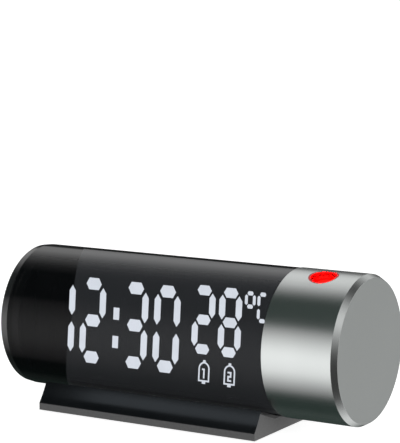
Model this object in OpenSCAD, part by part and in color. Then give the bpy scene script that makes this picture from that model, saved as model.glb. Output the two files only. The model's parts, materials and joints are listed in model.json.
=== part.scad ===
// Projection alarm clock: a black cylinder with a lit display on a low
// cradle, and a metal drum at its right end that turns about the cylinder's
// axis and holds the projector. +Z is up, the display faces -Y, +X runs along
// the cylinder to the drum. The origin is on the table, below the middle.

/* [Cylinder] */
// Outside diameter of the black cylinder
body_d = 64; // [62:0.5:68]
// Length of the black cylinder, end cap included
body_l = 132.7; // [131:0.1:150]
// Wall of the cover, the rear shell and the end cap
wall = 2; // [1.6:0.1:2.3]
// Angle above the front at which the seams between cover and shell are centred
seam_angle = 28; // [20:1:34]
// Visible width of the end cap's band
band_l = 3.4; // [2:0.1:6]
// How much the band narrows in radius towards the end
band_taper = 0.45; // [0.1:0.05:1]
// Length of the end cap's spigot inside the cylinder
spigot_l = 4.6; // [3:0.1:6]

/* [Base] */
// Length of the base
base_l = 110; // [100:1:116]
// Depth of the base from front to rear
base_depth = 56.7; // [54:0.1:62]
// Distance from the drum's joint to the base's right end
base_inset = 4.5; // [2:0.1:10]
// Height of the cylinder's lowest line above the base's underside
base_drop = 5.6; // [5.2:0.1:8]
// Height of the upright lip round the base
lip_h = 3.2; // [2.4:0.1:4]
// Angle below the front of the crease between the base's flank and its top
crease_angle = 48.5; // [44:0.1:52]
// Gap between the crease and the cylinder
crease_gap = 2.6; // [2.2:0.1:3]
// Radius of the hollow flank between lip and cylinder
flank_r = 47; // [30:1:120]
// Wall of the base's cradle and bottom plate
base_wall = 1.8; // [1.4:0.1:2]
// Diameter of a rubber foot
foot_d = 8; // [6:0.5:10]
// How far a foot stands below the base
foot_proud = 0.8; // [0.5:0.1:1.5]
// Thickness of a foot
foot_t = 1.6; // [1.6:0.1:2]

/* [Drum] */
// Outside diameter of the turning drum
drum_d = 64.4; // [63:0.1:68]
// Length of the turning drum
drum_l = 34.5; // [33:0.1:42]
// Gap between the cylinder and the drum
drum_gap = 0.4; // [0.3:0.05:0.6]
// Wall of the drum's metal sleeve
sleeve_wall = 1.6; // [1.2:0.1:1.8]
// Length of the bevel at the drum's end
bevel_l = 2.5; // [2:0.1:3.5]
// Depth of the bevel at the drum's end, measured along the radius
bevel_h = 1.4; // [0.8:0.1:1.45]
// Thickness of the plain disc in the drum's end
disc_t = 1.5; // [1:0.1:2]
// Angle at which the lens leans forward from straight up
lens_tilt = 14; // [0:1:30]
// Diameter of the lens opening in the sleeve
lens_hole_d = 13; // [12.8:0.1:14]
// Radius of the hollow pivot shaft
shaft_r = 6; // [5:0.1:6.2]
// Radial running clearance of the pivot shaft in its bush
shaft_play = 0.05; // [0.02:0.01:0.08]

/* [Projector] */
// Side of the square projector housing
house_side = 25; // [24:0.5:25.5]
// Gap between the carrier and the projector housing
house_gap = 1.2; // [1:0.1:1.6]
// Outside radius of the lens barrel
barrel_r = 4.5; // [4.2:0.1:4.6]
// Radial running clearance of the lens barrel and the focus ring
barrel_play = 0.05; // [0.02:0.01:0.08]
// Travel of the lens barrel each way
focus_travel = 1; // [0.5:0.1:1.2]
// Wall of the bezel round the focus ring
bezel_wall = 0.8; // [0.6:0.1:1]

/* [Display] */
// Angle at which the display leans back
display_tilt = 5; // [0:1:8]
// Distance of the display's front face behind the cylinder's front line
display_inset = 15; // [14:0.1:16]
// Depth of the light wells behind the front face
well_depth = 5; // [4:0.1:5.2]
// Distance from the first digit to the second, and from the third to the fourth
digit_pitch = 16.3; // [15.6:0.1:17]
// Distance from the second digit to the third, across the colon
colon_pitch = 22.15; // [21:0.05:23]
// Place of the time's middle, along the cylinder
time_x = -33.4; // [-35:0.1:-32]
// Place of the temperature's first digit, along the cylinder
temp_x = 12.3; // [11:0.1:13]
// Distance between the temperature's digits
temp_pitch = 13.05; // [12.5:0.05:13.5]

/* [Controls] */
// How deep the flat control panel is sunk into the cylinder's rear
panel_sink = 4; // [3.6:0.1:4.4]
// Diameter of a button
button_d = 6; // [5:0.1:7]
// Distance between buttons
button_pitch = 10; // [9.5:0.1:11]
// Height of the row of buttons above the axis
button_z = 6.5; // [5:0.1:7]
// How far a button stands out of the panel
button_proud = 1.2; // [0.8:0.1:1.6]
// Travel of a button
button_travel = 0.6; // [0.3:0.05:0.8]
// Width of the battery door
door_w = 24; // [22.5:0.5:25]
// Height of the battery door
door_h = 22; // [21.5:0.1:23]

/* [Hidden] */
$fn = 96;

// Clearances
seat = 0.05;       // between two pieces of one body
slide_gap = 0.15;  // round a button
part_gap = 0.3;    // between pieces that only lie near each other
cut = 1;           // how far a cut runs past the face it opens

// The cylinder and its axis
body_r = body_d / 2;
bore_r = body_r - wall;
axis_z = foot_proud + base_drop + body_r;
total_l = body_l + drum_gap + drum_l;
body_x0 = -total_l / 2;
body_x1 = body_x0 + body_l;
shell_x0 = body_x0 + band_l;
seam_lip_t = 1;
seam_lip_angle = 5;
touch_inset = 42;
touch_t = 0.3;

// The base
base_x1 = body_x1 - base_inset;
base_x0 = base_x1 - base_l;
base_z = -body_r - base_drop;
cavity_z = base_z + base_wall;
base_corner = 4;
foot_r = foot_d / 2;
foot_end_inset = 8.5;
foot_edge_inset = 7.85;
base_screw_end_inset = 20;
base_screw_edge_inset = 5.85;
base_screw_l = 6;
base_boss_r = 2.9;
base_boss_l = 7.5;
cradle_screw_inset = 22;
cradle_screw_r = 1.4;
cradle_screw_l = 8;
cradle_head_r = 2.6;
cradle_post_r = 3.4;
cradle_post_l = 7;

// The right end plate, its bush and what holds the drum in it
plate_t = 3;
plate_x0 = body_x1 - plate_t;
hub_l = 4;
bush_wall = 1.55;
bush_r = shaft_r + bush_wall;
hub_r = bush_r + 2;
bush_x0 = plate_x0 - hub_l;
washer_t = 0.7;
washer_x0 = bush_x0 - seat - washer_t;
clip_t = 1;
clip_x0 = washer_x0 - seat - clip_t;
groove_depth = 0.9;
shaft_x0 = clip_x0 - 2;
shaft_bore_r = shaft_r - 1.8;
end_screw_inset = 4.2;
end_screw_radius = bore_r - end_screw_inset;
end_screw_angles = [150, 205, 268];
end_screw_l = 6;
end_boss_r = 3;
end_boss_l = 9;
end_rib_t = 2;
window_web = 0.8;

// The drum
drum_r = drum_d / 2;
drum_x0 = body_x1 + drum_gap;
drum_x1 = drum_x0 + drum_l;
sleeve_bore_r = drum_r - sleeve_wall;
disc_r = drum_r - bevel_h - 0.2;
ledge_w = 2;
ledge_t = 2;
carrier_r = sleeve_bore_r - seat;
carrier_t = 2.5;
carrier_rim = 1.3;
carrier_rim_l = 2.2;
lens_x = drum_x0 + carrier_t + house_gap + house_side / 2;
lens_hole_r = lens_hole_d / 2;

// The projector, measured along the lens's axis from the drum's axis
house_half = house_side / 2;
house_wall = 2;
tube_sink = 9.2;
tube_z1 = drum_r - tube_sink;
tube_l = 11;
tube_r = 8;
house_z0 = -19;
house_z1 = tube_z1 - tube_l;
house_screw_edge = 5;
house_screw_y = house_half - 4;
house_screw_grip = 1.8;
condenser_z = -10;
condenser_r = house_half - house_wall - 0.4;
condenser_t = 4.5;
lcd_z = 0;
lcd_t = 1.8;
ring_flange_r = lens_hole_r + 0.7;
ring_flange_t = 1.9;
ring_z0 = tube_z1 + seat;
ring_sink = 1.6;
ring_z1 = drum_r - ring_sink;
ring_r = lens_hole_r - seat - bezel_wall - slide_gap;
bezel_r = ring_flange_r + slide_gap + 1.1;
bezel_flange_t = ring_flange_t + 1.7;
barrel_root = 13;
barrel_z0 = tube_z1 - barrel_root;
barrel_l = 19;
barrel_wall = 0.7;
key_w = 1.6;
heatsink_side = 20;
heatsink_t = 2;
fin_h = 4;
fin_t = 1.2;
FINS = 6;
lead_r = 1.6;
lamp_board_side = 18;
lamp_board_t = 1.2;
lamp_side = 5;
lamp_t = 1.2;
lamp_dome_r = 2.2;
condenser_bulge = 14;

// The display, in its own plane: x along the cylinder, y up the plane
display_depth = body_r - display_inset;
plate_face_t = 2;
face_x1 = body_x1 - window_web - part_gap;
frame_x0 = shell_x0 + spigot_l + part_gap;
frame_x1 = plate_x0 - part_gap;
frame_side = bore_r - part_gap;
frame_offset = display_depth * cos(display_tilt);
frame_mid = display_depth * sin(display_tilt);
frame_half = sqrt(frame_side * frame_side - frame_offset * frame_offset);
board_t = 1.6;
icon_t = 0.4;
touch_spread = 14;
led_t = 0.6;
led_side = 0.8;
guide_t = well_depth - led_t - 0.2;
block_margin = 2;
block_y0 = frame_mid - frame_half + block_margin;
block_y1 = frame_mid + frame_half - block_margin;
// Character styles: [distance between left and right strokes, distance between top
// and bottom strokes, height of the middle], then [length, thickness, tip] of a level
// and of an upright segment
BIG = [[10, 32.7, 3], [8, 5.2, 1.5], [13.4, 3.2, 2.4]];
SMALL = [[8.15, 25.35, 8.9], [7, 4.2, 1.3], [10.6, 3, 2.1]];
SIGN = [[3.8, 11.2, 16.7], [2.9, 1.7, 0.5], [4.4, 1.35, 0.6]];
// Each character: [style, place along x, segments it has, segments lit]
time_left = time_x - colon_pitch / 2;
time_right = time_x + colon_pitch / 2;
ALL = "abcdefg";
CHARACTERS = [
    [BIG, time_left - digit_pitch, ALL, "bc"],
    [BIG, time_left, ALL, "abged"],
    [BIG, time_right, ALL, "abgcd"],
    [BIG, time_right + digit_pitch, ALL, "abcdef"],
    [SMALL, temp_x, ALL, "abged"],
    [SMALL, temp_x + temp_pitch, ALL, "abcdefg"],
    [SIGN, temp_x + 22.45, "abfg", "abfg"],
    [SIGN, temp_x + 28.5, "afed", "afed"]
];
block_x0 = time_left - digit_pitch - 8;
COLON = [[time_x + 1.25, 7.2], [time_x + 1.25, -5.3]];
colon_size = [3, 5.3];
// Alarm signs: [place along x, place up y]
BELLS = [[temp_x + 1.4, -14.9], [temp_x + 14, -14.9]];
bell_half = 2.75;
bell_side = 5.6;
bell_arch = 3;
bell_stroke = 0.65;
bell_steps = 8;
bell_knob = [1.3, 0.7];
bell_top = bell_side / 2 + bell_arch + bell_knob[1];
bell_clapper = [1.7, 0.9];
numeral_rise = 0.75;
numeral_size = [1.9, 4.2];
numeral_stroke = 0.7;

// The rear control panel and what is behind it
panel_x0 = body_x0 + 12;
panel_x1 = body_x1 - 11;
panel_y = body_r - panel_sink;
panel_in = panel_y - wall;
panel_half = sqrt(body_r * body_r - panel_y * panel_y) + 1;
flange_t = 0.8;
flange_w = 0.9;
switch_t = 3.4;
plunger_t = 0.4;
switch_side = 6;
plunger_r = 1.7;
over_travel = 0.1;
button_board_y = panel_in - seat - flange_t - button_travel - over_travel - plunger_t - switch_t;
button_r = button_d / 2;
button_dome_r = 14;
BUTTONS = 6;
button_x0 = body_x0 + 54;
board_x0 = button_x0 - 9;
board_x1 = button_x0 + 66;
board_z = -11.1;
board_front = -2;
board_rear = panel_in - part_gap;
sensor_x = board_x0 + 12;
sensor_y = board_rear - 6.7;
sensor_drop = 7.9;
sensor_l = 4;
sensor_r = 1.9;
wire_r = 0.3;
vent_w = 1.4;
vent_pitch = 3;
vent_h = 4.5;
vent_z = board_z - 8.65;
usb_x = button_x0 + 8;
usb_size = [13.1, 14, 5.7];
usb_wall = 0.4;
usb_tongue = [11.2, 10.5, 1.8];
inlet_x = button_x0 + 40;
inlet_size = [8.94, 7.3, 3.2];
inlet_wall = 0.3;
inlet_back_t = 1.2;
inlet_tongue = [6.4, 0.7];
socket_gap = 0.15;
post_r = 2.6;
pilot_r = 1.05;
pilot_spare = 1;
screw_r = 1;
head_r = 2;
head_t = 1.3;
board_screw_l = 6;
button_screw_l = 4;
board_posts = [[board_x0 + 4, 4], [board_x1 - 4, 4], [board_x0 + 4, 17], [board_x1 - 4, 17]];
button_post_inset = 6.5;
button_posts = [button_x0 - button_post_inset, button_x0 + (BUTTONS - 1) * button_pitch + button_post_inset];
button_board_h = 15;
button_board_edge = 3.5;
chip_side = 12;
chip_x = board_x0 + 32;
chip_t = 1.4;
driver_t = 1.2;
capacitor_r = 2.5;
capacitor_h = 7;
crystal_r = 1;
crystal_h = 6;
parts_y = panel_y - usb_size[1] - 8;

// The ribbon from the main board to the display board
ribbon_w = 20;
ribbon_t = 0.4;
ribbon_x = board_x0 + 24;
ribbon_y = 2;
ribbon_bend = 4;
connector_t = 1.8;
connector_side = 4;
ribbon_z = board_z + board_t + connector_t + ribbon_bend;

// The backup battery
door_x = body_x0 + 28.8;
door_t = wall - seat;
tray_wall = 1.2;
tray_depth = 6.2;
cell_r = 10;
cell_t = 3.2;
cell_step = 0.6;
contact_t = 0.3;
contact_h = 0.5;
finger_slot = [8, 2.4];

// The alarm's speaker
speaker_r = 14;
speaker_t = 5.5;
speaker_rim = 1.4;
grille_r = 0.9;
grille_pitch = 3.4;

// ---------------------------------------------------------------- helpers

// Direction in a section at an angle above the front
function facing(angle) = [-cos(angle), sin(angle)];

// Raises the cylinder's axis to its height above the table
module at_axis() {
    translate([0, 0, axis_z]) children();
}

// Extrudes a profile drawn as (depth, height) along the cylinder
module along(x0, x1) {
    translate([x0, 0, 0]) rotate([90, 0, 90]) linear_extrude(x1 - x0) children();
}

// Turns a profile drawn as (radius, place along the cylinder) about the axis
module turned() {
    rotate([90, 0, 90]) rotate_extrude() children();
}

// The half of a section on the side that an angle above the front points to
module half(angle, gap = 0) {
    rotate(180 - angle) translate([gap, -2 * body_r]) square([3 * body_r, 4 * body_r]);
}

// A ring drawn as a section
module ring(outer, inner) {
    difference() {
        circle(outer);
        circle(inner);
    }
}

// Puts a shape at an angle above the front and a radius, looking along the cylinder
module at_angle(angle, radius) {
    rotate([180 - angle, 0, 0]) translate([0, radius, 0]) children();
}

// A rod along the cylinder
module rod(x0, x1, r) {
    translate([x0, 0, 0]) rotate([0, 90, 0]) cylinder(h = x1 - x0, r = r);
}

// A rod from front to rear
module depth_rod(y0, y1, r) {
    translate([0, y1, 0]) rotate([90, 0, 0]) cylinder(h = y1 - y0, r = r);
}

// A box given by its two ends along each axis
module block(x, y, z) {
    translate([x[0], y[0], z[0]]) cube([x[1] - x[0], y[1] - y[0], z[1] - z[0]]);
}

// The lens's own frame, +Z out of the drum
module lens_frame() {
    at_axis() translate([lens_x, 0, 0]) rotate([lens_tilt, 0, 0]) children();
}

// The display's own frame: x along the cylinder, y up the plane, +Z towards the front
module display_frame_of() {
    at_axis() translate([0, -display_depth, 0]) rotate([90 - display_tilt, 0, 0]) children();
}

// ---------------------------------------------------------------- digits

// One segment: a bar with pointed ends, lying along x
module bar(size, grow = 0) {
    l = size[0] / 2 + grow;
    t = size[1] / 2 + grow;
    e = l - size[2];
    polygon([[-l, 0], [-e, t], [e, t], [l, 0], [e, -t], [-e, -t]]);
}

function level(s) = s == "a" || s == "g" || s == "d";
function side(s) = s == "b" || s == "c" ? 1 : -1;
function upper(s) = s == "b" || s == "f" ? 1 : -1;
// Place of a segment in a character's own grid, and on the display
function in_grid(s, g) =
    s == "a" ? [0, g[1] / 2] :
    s == "g" ? [0, 0] :
    s == "d" ? [0, -g[1] / 2] : [side(s) * g[0] / 2, upper(s) * g[1] / 4];
function segment_place(c, s) = [c[1], c[0][0][2]] + in_grid(s, c[0][0]);
function is_lit(s, lit) = len(search(s, lit)) > 0;

// The segments of every character, the lit ones or the others
module segments(lit, grow = 0) {
    for (c = CHARACTERS, s = c[2])
        if (is_lit(s, c[3]) == lit)
            translate(segment_place(c, s))
                if (level(s)) bar(c[0][1], grow); else rotate(90) bar(c[0][2], grow);
}

module colon(grow = 0) {
    for (p = COLON)
        translate(p) square(colon_size + [2 * grow, 2 * grow], center = true);
}

// Outline of a bell with a pointed dome, its arcs drawn in short straight steps. The
// outer one has a knob over it and a clapper under it
module bell(inset = 0, stubs = false) {
    a = bell_half - inset;
    r = (a * a + (bell_arch - inset) * (bell_arch - inset)) / (2 * a);
    foot = inset - bell_side / 2;
    knob = stubs ? bell_knob[0] / 2 - inset : 0;
    turn = acos((r - a + knob) / r);
    dome = [for (i = [0:bell_steps]) [r - a - r * cos(turn * i / bell_steps),
        bell_side / 2 + r * sin(turn * i / bell_steps)]];
    left = stubs ? concat(clapper(inset, foot), [[-a, foot]], dome, [[-knob, bell_top - inset]])
        : concat([[-a, foot]], dome);
    polygon(concat(left, [for (i = [len(left) - 1:-1:0]) [-left[i][0], left[i][1]]]));
}

function clapper(inset, foot) =
    [for (y = [-bell_clapper[1] + inset - bell_side / 2, foot]) [inset - bell_clapper[0] / 2, y]];

// The strokes of a small plain numeral 1 or 2 inside a bell
module bell_numeral(n, grow = 0) {
    w = numeral_stroke + 2 * grow;
    x = (numeral_size[0] - numeral_stroke) / 2;
    y = (numeral_size[1] - numeral_stroke) / 2;
    if (n == 1) {
        square([w, numeral_size[1] + 2 * grow], center = true);
        translate([-x / 2, y]) square([x + w, w], center = true);
    }
    if (n == 2) {
        for (i = [-1:1]) translate([0, i * y]) square([2 * x + w, w], center = true);
        translate([x, y / 2]) square([w, y + w], center = true);
        translate([-x, -y / 2]) square([w, y + w], center = true);
    }
}

module icons(grow = 0) {
    for (i = [0, 1])
        translate(BELLS[i]) {
            difference() {
                bell(-grow, true);
                bell(bell_stroke + grow);
            }
            translate([0, numeral_rise]) bell_numeral(i + 1, grow);
        }
}

// ---------------------------------------------------------------- cylinder

// Smoked cover: the front half of the tube, from under the base to behind the top
module front_cover() {
    color([0.05, 0.05, 0.06, 0.6]) at_axis()
        along(shell_x0 + seat, body_x1)
            intersection() {
                ring(body_r, bore_r);
                half(seam_angle, seat / 2);
            }
}

// Rear shell: the other half, with the sunk control panel, posts and vents
module rear_shell() {
    color([0.09, 0.09, 0.1]) at_axis() difference() {
        union() {
            difference() {
                along(shell_x0 + seat, body_x1) intersection() {
                    circle(body_r);
                    half(seam_angle + 180, seat / 2);
                }
                difference() {
                    rod(shell_x0 - cut, body_x1 + cut, bore_r);
                    panel_block(wall);
                }
            }
            seam_lips();
            shell_posts();
        }
        panel_block(0);
        panel_openings();
        shell_pilots();
        vents();
    }
}

// The block that is sunk into the rear: the recess itself, or with its wall
module panel_block(w) {
    block([panel_x0 - w, panel_x1 + w], [panel_y - w, body_r + cut], [-panel_half - w, panel_half + w]);
}

// Lips inside the seams, rooted in the shell, that the cover's edges close over
module seam_lips() {
    along(frame_x0, frame_x1) for (seam = [seam_angle - 90, seam_angle + 90]) {
        intersection() {
            ring(bore_r - seat, bore_r - seat - seam_lip_t);
            wedge(seam, seam_lip_angle);
        }
        intersection() {
            ring(bore_r + wall / 2, bore_r - seat - seam_lip_t);
            wedge(seam, seam_lip_angle);
            half(seam_angle + 180, seat / 2);
        }
    }
}

// A wedge of a section, spread to both sides of an angle above the front
module wedge(angle, spread) {
    far = 2 * body_r;
    polygon([[0, 0], far * facing(angle - spread), far * facing(angle + spread)]);
}

module shell_posts() {
    for (p = board_posts)
        translate([p[0], p[1], -bore_r - wall / 2])
            intersection() {
                cylinder(h = board_z + bore_r + wall / 2, r = post_r);
                translate([-p[0], -p[1], bore_r + wall / 2]) rod(shell_x0, body_x1, bore_r + wall / 2);
            }
    for (x = button_posts)
        translate([x, 0, button_z]) depth_rod(button_board_y, panel_in + wall / 2, post_r);
    cradle_screw_places()
        translate([0, 0, -bore_r - wall / 2]) cylinder(h = cradle_post_l + wall / 2, r = cradle_post_r);
    for (a = end_screw_angles)
        at_angle(a, end_screw_radius) {
            rod(plate_x0 - end_boss_l, plate_x0 - seat, end_boss_r);
            block([plate_x0 - end_boss_l, plate_x0 - seat], [0, end_screw_inset + wall / 2],
                [-end_rib_t / 2, end_rib_t / 2]);
        }
}

module shell_pilots() {
    for (p = board_posts)
        translate([p[0], p[1], board_z - board_screw_l - pilot_spare])
            cylinder(h = board_screw_l + pilot_spare + cut, r = pilot_r);
    for (x = button_posts)
        translate([x, 0, button_z])
            depth_rod(button_board_y - cut, button_board_y + button_screw_l + pilot_spare, pilot_r);
    cradle_screw_places()
        translate([0, 0, -body_r - cut])
            cylinder(h = cradle_screw_l - base_wall + pilot_spare + cut, r = cradle_screw_r + seat);
    for (a = end_screw_angles)
        at_angle(a, end_screw_radius)
            rod(plate_x0 - end_screw_l - pilot_spare, plate_x0 + cut, pilot_r);
}

module cradle_screw_places() {
    for (x = [base_x0 + cradle_screw_inset, base_x1 - cradle_screw_inset])
        translate([x, 0, 0]) children();
}

module panel_openings() {
    for (i = [0:BUTTONS - 1])
        translate([button_x0 + i * button_pitch, 0, button_z])
            depth_rod(panel_in - cut, panel_y + cut, button_r + slide_gap);
    block([door_x - door_w / 2, door_x + door_w / 2], [panel_in - cut, panel_y + cut],
        [-door_h / 2, door_h / 2]);
    socket_space(usb_x, usb_size, socket_gap, panel_in - cut);
    socket_space(inlet_x, inlet_size, socket_gap, panel_in - cut);
}

// The outline of a socket that stands on the main board and ends in the panel
module socket_space(x, size, gap, y0) {
    block([x - size[0] / 2 - gap, x + size[0] / 2 + gap], [y0, panel_y + (gap > 0 ? cut : 0)],
        [board_z + board_t + seat - gap, board_z + board_t + seat + size[2] + gap]);
}

// Slots over the temperature sensor
module vents() {
    for (i = [-2:2])
        translate([sensor_x + i * vent_pitch, 0, vent_z])
            block([-vent_w / 2, vent_w / 2], [sensor_y - 4, body_r], [-vent_h / 2, vent_h / 2]);
}

// End cap: a tapered band, a spigot and a grille in front of the speaker
module left_end_cap() {
    in_x = body_x0 + wall;
    spigot_bore_r = bore_r - seat - wall * 0.8;
    color([0.25, 0.25, 0.27]) at_axis() difference() {
        turned() {
            polygon([[0, body_x0], [body_r - band_taper, body_x0], [body_r, shell_x0],
                [bore_r - seat, shell_x0], [bore_r - seat, shell_x0 + spigot_l],
                [spigot_bore_r, shell_x0 + spigot_l], [spigot_bore_r, in_x], [0, in_x]]);
            translate([speaker_r + seat, in_x - seat]) square([speaker_rim, speaker_t + seat]);
        }
        for (k = [0:3], i = [0:max(0, 6 * k - 1)])
            rotate([i * 60 / max(1, k), 0, 0]) translate([0, k * grille_pitch, 0])
                rod(body_x0 - cut, in_x + cut, grille_r);
    }
}

module speaker() {
    x0 = body_x0 + wall + seat;
    color([0.16, 0.16, 0.17]) at_axis() turned() polygon([[0, x0 + 1.2], [speaker_r - 3.5, x0 + 0.4],
        [speaker_r - 2.2, x0], [speaker_r, x0], [speaker_r, x0 + 2], [speaker_r - 2.5, x0 + 2.8],
        [7, x0 + 3.4], [7, x0 + speaker_t], [0, x0 + speaker_t]]);
}

// End plate: closes the cylinder at the drum and holds the pivot's bush. Its front is
// cut back to a web, so that the display is seen through the cover up to the seam
module right_end_plate() {
    color([0.07, 0.07, 0.08]) at_axis() difference() {
        union() {
            rod(plate_x0, body_x1, bore_r - seat);
            rod(bush_x0, plate_x0 + cut, hub_r);
        }
        rod(bush_x0 - cut, body_x1 + cut, bush_r + seat);
        translate([0, -display_depth, 0]) rotate([90 - display_tilt, 0, 0])
            block([plate_x0 - cut, body_x1 - window_web], [-body_d, body_d],
                [-plate_face_t - part_gap, body_r]);
        for (a = end_screw_angles)
            at_angle(a, end_screw_radius) {
                rod(plate_x0 - cut, body_x1 + cut, screw_r + seat);
                rod(body_x1 - head_t - 0.2, body_x1 + cut, head_r + 0.2);
            }
    }
}

// Bush: a plastic sleeve with a thrust flange between the cylinder and the drum
module pivot_bush() {
    bore = shaft_r + shaft_play;
    flange = bush_r + 4;
    color([0.85, 0.84, 0.78]) at_axis() turned() polygon([[bore, bush_x0], [bush_r, bush_x0],
        [bush_r, body_x1], [flange, body_x1], [flange, drum_x0 - seat], [bore, drum_x0 - seat]]);
}

module friction_washer() {
    color([0.7, 0.7, 0.72]) at_axis() along(washer_x0, washer_x0 + washer_t) ring(hub_r - 0.3, shaft_r + 0.2);
}

module end_plate_screws() {
    color([0.6, 0.6, 0.62]) at_axis() for (a = end_screw_angles)
        at_angle(a, end_screw_radius) {
            rod(plate_x0 - end_screw_l, body_x1 - head_t, screw_r);
            rod(body_x1 - head_t - 0.2 + seat, body_x1 - 0.1, head_r);
        }
}

// ---------------------------------------------------------------- display

// Dark mask with a light well behind every segment, spanning the cover
module display_frame() {
    color([0.08, 0.08, 0.09]) display_frame_of() difference() {
        union() {
            block([frame_x0, face_x1], [frame_mid - frame_half, frame_mid + frame_half], [-plate_face_t, 0]);
            block([block_x0, frame_x1], [block_y0, block_y1], [-well_depth, -plate_face_t / 2]);
        }
        translate([0, 0, -well_depth - cut]) linear_extrude(well_depth + 2 * cut) {
            segments(true, seat);
            segments(false, seat);
            colon(seat);
        }
        translate([0, 0, -icon_t]) linear_extrude(icon_t + cut) icons(seat);
        hub_space();
    }
}

// Room for the pivot's hub, seen from the display's frame
module hub_space() {
    rotate([display_tilt - 90, 0, 0]) translate([0, display_depth, 0])
        rod(shaft_x0 - cut, body_x1, hub_r + part_gap);
}

// Clear light guides that fill the wells of the lit segments
module lit_segments() {
    color([0.9, 0.93, 1]) display_frame_of() translate([0, 0, -guide_t]) linear_extrude(guide_t) {
        segments(true);
        colon();
    }
}

module dark_segments() {
    color([0.12, 0.12, 0.13]) display_frame_of() translate([0, 0, -guide_t])
        linear_extrude(guide_t) segments(false);
}

module lit_icons() {
    color([0.9, 0.93, 1]) display_frame_of() translate([0, 0, seat - icon_t])
        linear_extrude(icon_t - seat) icons();
}

module display_board() {
    color([0.05, 0.2, 0.1]) display_frame_of() difference() {
        block([block_x0, frame_x1], [block_y0, block_y1], [-well_depth - board_t, -well_depth]);
        hub_space();
    }
}

// One light source under each segment and each dot of the colon
module segment_leds() {
    color([0.95, 0.9, 0.6]) display_frame_of() translate([0, 0, -well_depth]) linear_extrude(led_t) {
        for (c = CHARACTERS, s = c[2])
            translate(segment_place(c, s)) square(led_side, center = true);
        for (p = COLON)
            translate(p) square([2 * led_side, led_side], center = true);
    }
}

// Copper foil under the top of the cover: touching the cover there snoozes the alarm
module touch_electrode() {
    color([0.72, 0.45, 0.2]) at_axis() along(body_x0 + touch_inset, body_x1 - touch_inset) intersection() {
        ring(bore_r - seat, bore_r - seat - touch_t);
        wedge(90, touch_spread);
    }
}

// ---------------------------------------------------------------- boards

module main_board() {
    color([0.05, 0.2, 0.1]) at_axis() difference() {
        block([board_x0, board_x1], [board_front, board_rear], [board_z, board_z + board_t]);
        for (p = board_posts)
            translate([p[0], p[1], board_z - cut]) cylinder(h = board_t + 2 * cut, r = screw_r + seat);
    }
}

// Processor, clock crystal, capacitors and the two connectors
module board_parts() {
    top = board_z + board_t;
    color([0.1, 0.1, 0.11]) at_axis() {
        translate([chip_x, parts_y, top]) cube([chip_side, chip_side, chip_t]);
        translate([chip_x - chip_side, parts_y, top]) cube([chip_side / 2, 5, driver_t]);
        for (i = [0, 1])
            translate([board_x0 + 52 + 7 * i, parts_y + 2, top]) cylinder(h = capacitor_h, r = capacitor_r);
        translate([board_x0 + 29, parts_y + 8, top]) cylinder(h = crystal_h, r = crystal_r);
        translate([ribbon_x - ribbon_w / 2 - 1, ribbon_y - connector_side / 2, top])
            cube([ribbon_w + 2, connector_side, connector_t]);
    }
}

// Flat ribbon that bends from the main board's connector to the display board
module display_ribbon() {
    board_back = -display_depth + (well_depth + board_t) * cos(display_tilt)
        + (ribbon_z + (well_depth + board_t) * sin(display_tilt)) * tan(display_tilt);
    color([0.8, 0.8, 0.82]) at_axis() along(ribbon_x - ribbon_w / 2, ribbon_x + ribbon_w / 2) {
        translate([ribbon_y - ribbon_bend, ribbon_z - ribbon_bend]) intersection() {
            ring(ribbon_bend + ribbon_t / 2, ribbon_bend - ribbon_t / 2);
            square(2 * ribbon_bend);
        }
        translate([board_back + 0.2, ribbon_z - ribbon_t / 2])
            square([ribbon_y - ribbon_bend - board_back - 0.2, ribbon_t]);
    }
}

module button_board() {
    color([0.05, 0.2, 0.1]) at_axis() difference() {
        block([button_posts[0] - button_board_edge, button_posts[1] + button_board_edge],
            [button_board_y - board_t, button_board_y],
            [button_z - button_board_h / 2, button_z + button_board_h / 2]);
        for (x = button_posts)
            translate([x, 0, button_z])
                depth_rod(button_board_y - board_t - cut, button_board_y + cut, screw_r + seat);
    }
}

module tact_switches() {
    color([0.12, 0.12, 0.13]) at_axis() for (i = [0:BUTTONS - 1])
        translate([button_x0 + i * button_pitch, button_board_y, button_z]) {
            block([-switch_side / 2, switch_side / 2], [0, switch_t], [-switch_side / 2, switch_side / 2]);
            depth_rod(switch_t, switch_t + plunger_t, plunger_r);
        }
}

module usb_output_socket() {
    z0 = board_z + board_t + seat;
    color([0.75, 0.76, 0.78]) at_axis() translate([usb_x, panel_y, z0]) {
        difference() {
            block([-usb_size[0] / 2, usb_size[0] / 2], [-usb_size[1], 0], [0, usb_size[2]]);
            block([usb_wall - usb_size[0] / 2, usb_size[0] / 2 - usb_wall], [2 - usb_size[1], cut],
                [usb_wall, usb_size[2] - usb_wall]);
        }
        translate([-usb_tongue[0] / 2, 1 - usb_size[1], usb_size[2] / 2])
            cube(usb_tongue);
    }
}

module power_inlet() {
    z0 = board_z + board_t + seat;
    r = inlet_size[2] / 2;
    color([0.75, 0.76, 0.78]) at_axis() translate([inlet_x, panel_y, z0 + r]) rotate([90, 0, 0]) {
        difference() {
            linear_extrude(inlet_size[1]) slot(inlet_size[0], r);
            translate([0, 0, -cut]) linear_extrude(inlet_size[1] + cut - inlet_back_t)
                slot(inlet_size[0] - 2 * inlet_wall, r - inlet_wall);
        }
        translate([-inlet_tongue[0] / 2, -inlet_tongue[1] / 2, 1])
            cube([inlet_tongue[0], inlet_tongue[1], inlet_size[1] - 1.5]);
    }
}

// A slot outline with round ends
module slot(l, r) {
    square([l - 2 * r, 2 * r], center = true);
    for (s = [-1, 1]) translate([s * (l / 2 - r), 0]) circle(r);
}

module temperature_sensor() {
    color([0.1, 0.1, 0.11]) at_axis() translate([sensor_x, sensor_y, board_z - sensor_drop]) {
        cylinder(h = sensor_l, r = sensor_r);
        for (s = [-1, 1])
            translate([s, 0, sensor_l - 0.5]) cylinder(h = sensor_drop - sensor_l + 0.5, r = wire_r);
    }
}

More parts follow.
